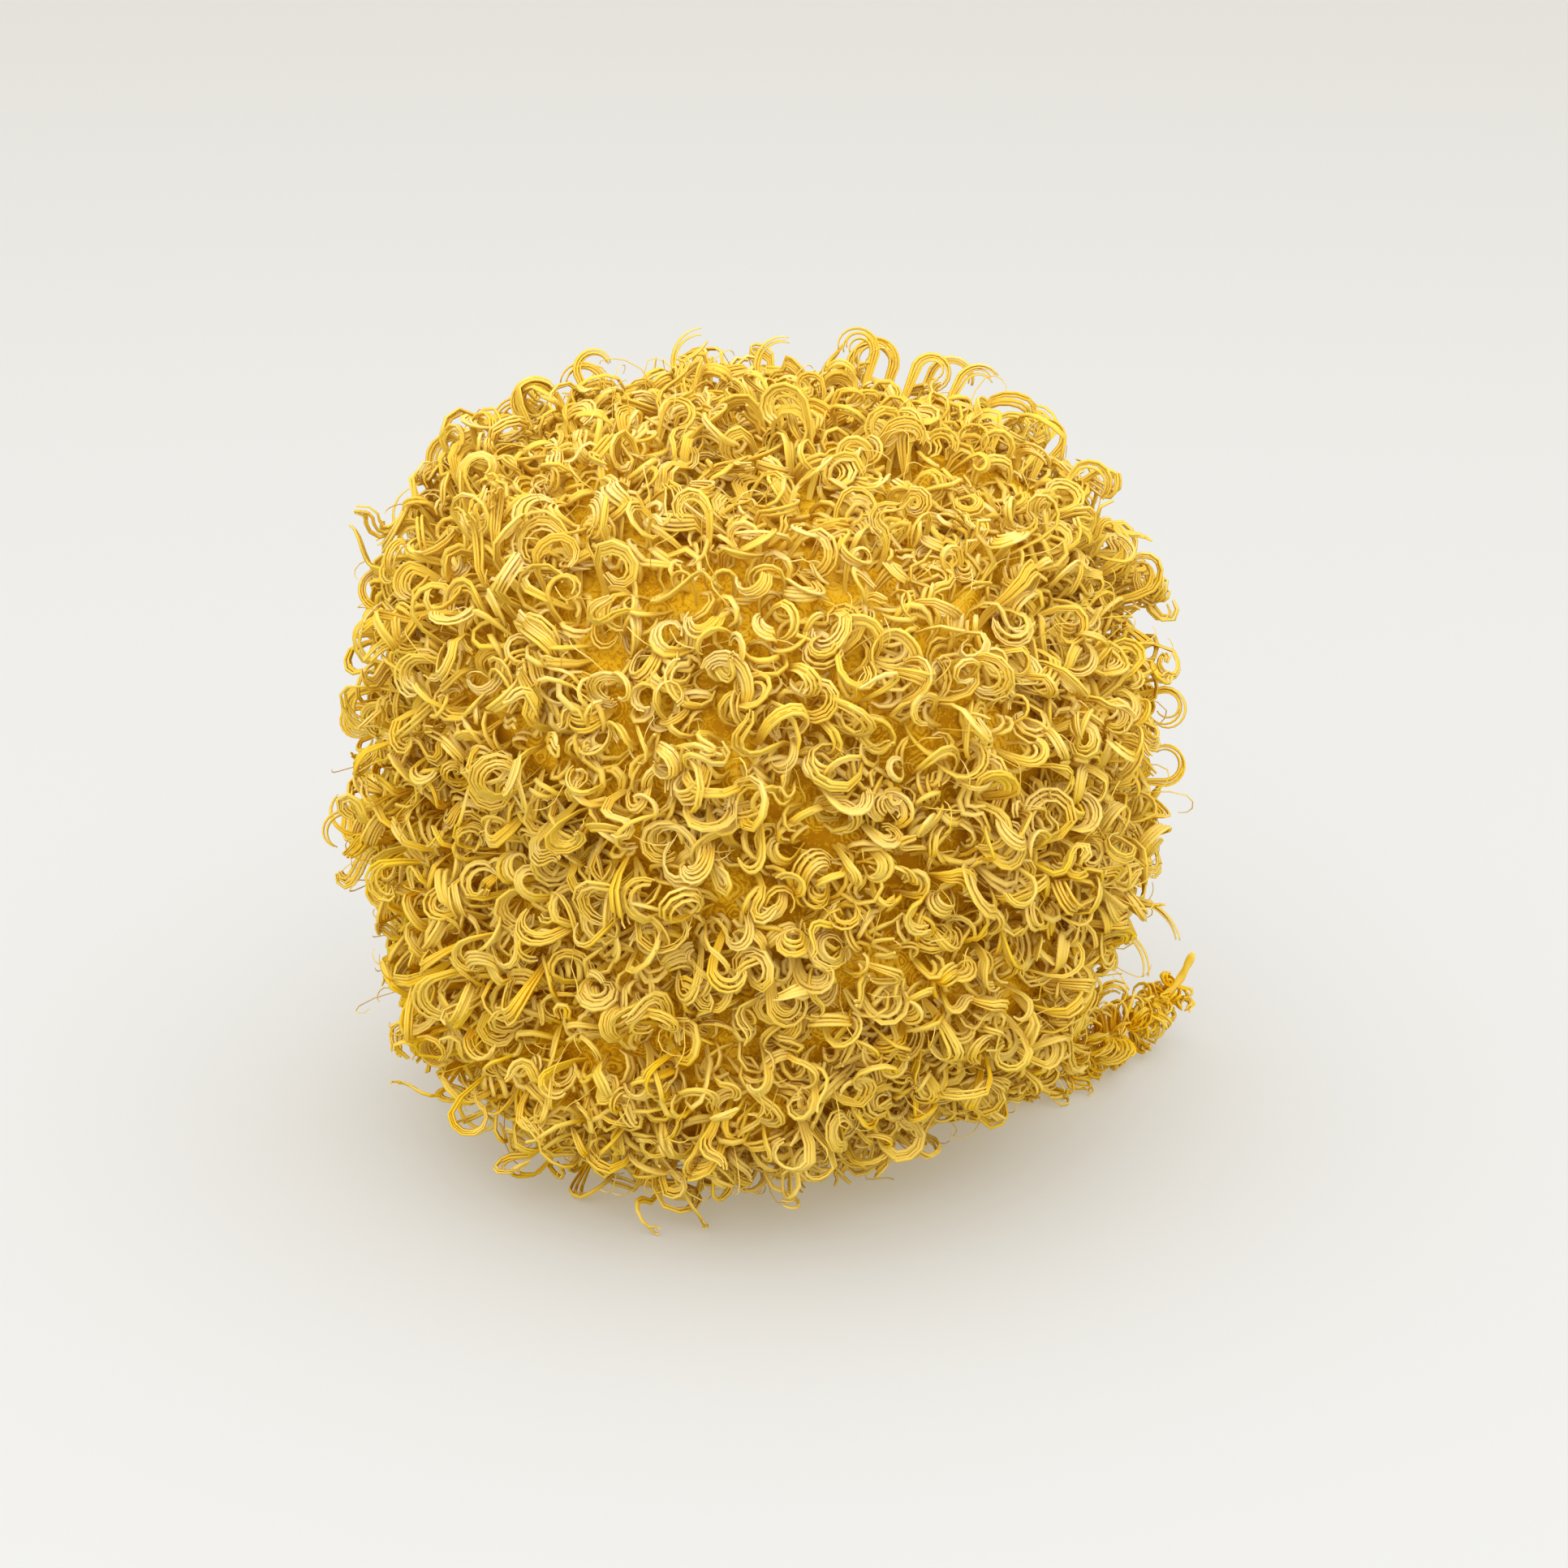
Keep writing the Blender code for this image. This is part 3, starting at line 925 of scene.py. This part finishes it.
# %% Curls laid from a table
# clock is the way out of the ball in degrees, from +X up and round. out is how far from the ball's
# middle the curl's straight run ends, and ring is the radius of its bend, both in millimetres. turn
# is how far it bends in degrees, to the left if it is positive. forward is its lean to the front.
Stray = namedtuple("Stray", "clock out ring turn forward strands")
STRAYS = (
    Stray(clock=134, out=54.0, ring=2.6, turn=-330, forward=0.05, strands=4),
    Stray(clock=148, out=56.5, ring=4.5, turn=120, forward=-0.10, strands=1),
    Stray(clock=158, out=56.0, ring=2.3, turn=300, forward=0.05, strands=3),
    Stray(clock=172, out=54.5, ring=2.0, turn=-280, forward=0.00, strands=3),
    Stray(clock=187, out=56.5, ring=2.4, turn=-150, forward=0.10, strands=2),
    Stray(clock=190, out=55.0, ring=3.2, turn=140, forward=0.00, strands=2),
    Stray(clock=122, out=56.0, ring=3.0, turn=-170, forward=0.00, strands=3),
    Stray(clock=124, out=57.5, ring=2.2, turn=210, forward=0.05, strands=4),
    Stray(clock=119, out=57.0, ring=2.4, turn=-260, forward=0.10, strands=4),
    Stray(clock=115, out=57.5, ring=2.0, turn=190, forward=0.05, strands=3),
    Stray(clock=112, out=56.0, ring=2.6, turn=-150, forward=0.05, strands=3),
    Stray(clock=102, out=54.5, ring=4.2, turn=95, forward=0.00, strands=2),
    Stray(clock=90, out=53.5, ring=3.4, turn=100, forward=0.05, strands=3),
    Stray(clock=77, out=56.0, ring=2.6, turn=150, forward=0.00, strands=3),
    Stray(clock=71, out=56.5, ring=2.6, turn=-240, forward=0.00, strands=4),
    Stray(clock=74, out=57.0, ring=2.2, turn=-200, forward=0.10, strands=4),
    Stray(clock=68, out=57.5, ring=2.0, turn=250, forward=0.05, strands=4),
    Stray(clock=62, out=58.5, ring=2.4, turn=120, forward=0.05, strands=4),
    Stray(clock=66, out=58.0, ring=2.6, turn=170, forward=0.00, strands=3),
    Stray(clock=46, out=58.5, ring=2.2, turn=-230, forward=0.05, strands=3),
    Stray(clock=39, out=57.0, ring=3.0, turn=-120, forward=0.00, strands=2),
    Stray(clock=10, out=55.5, ring=2.1, turn=240, forward=0.05, strands=3),
    Stray(clock=-3, out=55.0, ring=2.3, turn=-220, forward=0.05, strands=3),
    Stray(clock=-20, out=55.5, ring=7.0, turn=60, forward=0.00, strands=2),
    Stray(clock=-25, out=54.0, ring=6.0, turn=75, forward=0.00, strands=2),
)
STRAY_GAP = 0.38 * MILLIMETRE
STRAY_RADIUS = 0.26 * MILLIMETRE
STRAY_STEP = 0.45 * MILLIMETRE


def stray_route(stray, start, out, aside, place_in_ribbon):
    """Points along one strand of a stray curl, from the core to its tip."""
    middle = Vector((0.0, 0.0, ball_middle.z))
    run = max(STRAY_STEP, stray.out * MILLIMETRE - (start - middle).length)
    ring = stray.ring * MILLIMETRE
    bend = math.radians(stray.turn)
    offset = place_in_ribbon * STRAY_GAP
    straight = [start + out * run * part / 4 + aside * offset * part / 4 for part in range(5)]
    count = max(4, round(abs(bend) * ring / STRAY_STEP / 1.6))
    place, route = straight[-1], straight
    for part in range(count):
        share = (part + 1) / count
        angle = bend * share
        # The curl tightens a little towards its tip.
        step = abs(bend) * (ring - offset * math.copysign(1.0, bend)) / count * (1.15 - 0.3 * share)
        place = place + (out * math.cos(angle) + aside * math.sin(angle)) * step
        route.append(place)
    return route


def make_strays():
    dice = random.Random(8)
    work = bmesh.new()
    for stray in STRAYS:
        clock = math.radians(stray.clock)
        out = Vector((math.cos(clock), 0.0, 0.0)) + upwards * math.sin(clock) - look * stray.forward
        out.normalize()
        middle = Vector((0.0, 0.0, ball_middle.z))
        start = core.ray_cast(middle, out)[1]
        aside = out.cross(look).normalized() * -1.0
        for strand in range(stray.strands):
            place_in_ribbon = strand - (stray.strands - 1) / 2
            route = stray_route(stray, start, out, aside, place_in_ribbon)
            wander = Vector(dice.uniform(-1.0, 1.0) for _ in range(3)) * 0.5 * MILLIMETRE
            last = len(route) - 1
            route = [place + wander * (index / last) ** 1.5 for index, place in enumerate(route)]
            add_tube(
                work, route, look, lambda index, angle: STRAY_RADIUS * (1.0 - 0.55 * (index / last) ** 3),
                3, dice.random(), lambda share: share,
            )
    return finish_tubes(work, "stray_curls")


strays = make_strays()
pile.append(strays)
print("stray_curls:", triangles_in(strays), "triangles")

# %% [markdown]
# ## Stage
# The ball sits on thin white paper in a room full of soft light. Nearly all of the light comes from the
# world, which is even on every side, so the shadow is only a soft darkening under the ball. The paper
# also glows a little of its own, in a warm white, as if lit from below on a light table: a painted glow
# that keeps the shadow pale. Two large round lamps, one above and one in front, give the curls a light
# and a dark side. Wool throws light from fibre to fibre many times, which makes it glow, so more diffuse
# bounces are allowed.

# %% Stage
FLOOR_SIZE = 3.0
PAPER_WHITE = (0.306, 0.332, 0.378, 1.0)
PAPER_GLOW = (1.0, 0.86, 0.58, 1.0)
GLOW_STRENGTH = 0.32
ROOM_LIGHT = (1.0, 0.978, 0.935, 1.0)
ROOM_STRENGTH = 1.17
LAMP_COLOUR = (0.95, 0.98, 1.0)
Lamp = namedtuple("Lamp", "name size energy place aim")
LAMPS = (
    Lamp("overhead", size=1.6, energy=9.2, place=(0.0, -0.30, 1.00), aim=(0.0, 0.0, 0.05)),
    Lamp("fill", size=1.1, energy=4.5, place=(-0.10, -1.05, 0.80), aim=(0.0, 0.0, 0.03)),
)


def make_floor():
    sheet = bmesh.new()
    bmesh.ops.create_grid(sheet, x_segments=1, y_segments=1, size=FLOOR_SIZE)
    mesh = bpy.data.meshes.new("floor")
    sheet.to_mesh(mesh)
    sheet.free()
    paper = bpy.data.materials.new("paper")
    paper.use_nodes = True
    shader = paper.node_tree.nodes["Principled BSDF"]
    shader.inputs["Base Color"].default_value = PAPER_WHITE
    shader.inputs["Roughness"].default_value = 0.9
    # The paper glows a little of its own: a painted light that keeps the shadow on it pale.
    shader.inputs["Emission Color"].default_value = PAPER_GLOW
    shader.inputs["Emission Strength"].default_value = GLOW_STRENGTH
    mesh.materials.append(paper)
    made = bpy.data.objects.new("floor", mesh)
    scene.collection.objects.link(made)
    return made


def light_room():
    world = bpy.data.worlds.new("studio")
    world.use_nodes = True
    world.node_tree.nodes["Background"].inputs["Color"].default_value = ROOM_LIGHT
    world.node_tree.nodes["Background"].inputs["Strength"].default_value = ROOM_STRENGTH
    scene.world = world
    for row in LAMPS:
        light = bpy.data.lights.new(row.name, "AREA")
        light.shape = "DISK"
        light.size = row.size
        light.energy = row.energy
        light.color = LAMP_COLOUR
        lamp = bpy.data.objects.new(row.name, light)
        lamp.location = row.place
        lamp.rotation_euler = (Vector(row.aim) - Vector(row.place)).to_track_quat("-Z", "Y").to_euler()
        scene.collection.objects.link(lamp)


make_floor()
light_room()
scene.view_settings.view_transform = "Standard"
scene.cycles.diffuse_bounces = 10
scene.cycles.max_bounces = 12
print("lamps:", ", ".join(row.name for row in LAMPS))

# %% [markdown]
# ## Attach the pieces
# Last, the part's own solids are hidden, and each piece is set to move with the root body.

# %% Attach the pieces
bpy.data.objects.remove(roots)
pieces = [core, *pile, yarn_end, end_pile]
print("all pieces:", sum(triangles_in(piece) for piece in pieces), "triangles")
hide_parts("ball")
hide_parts("loose_end")
for piece in pieces:
    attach(piece, "root")
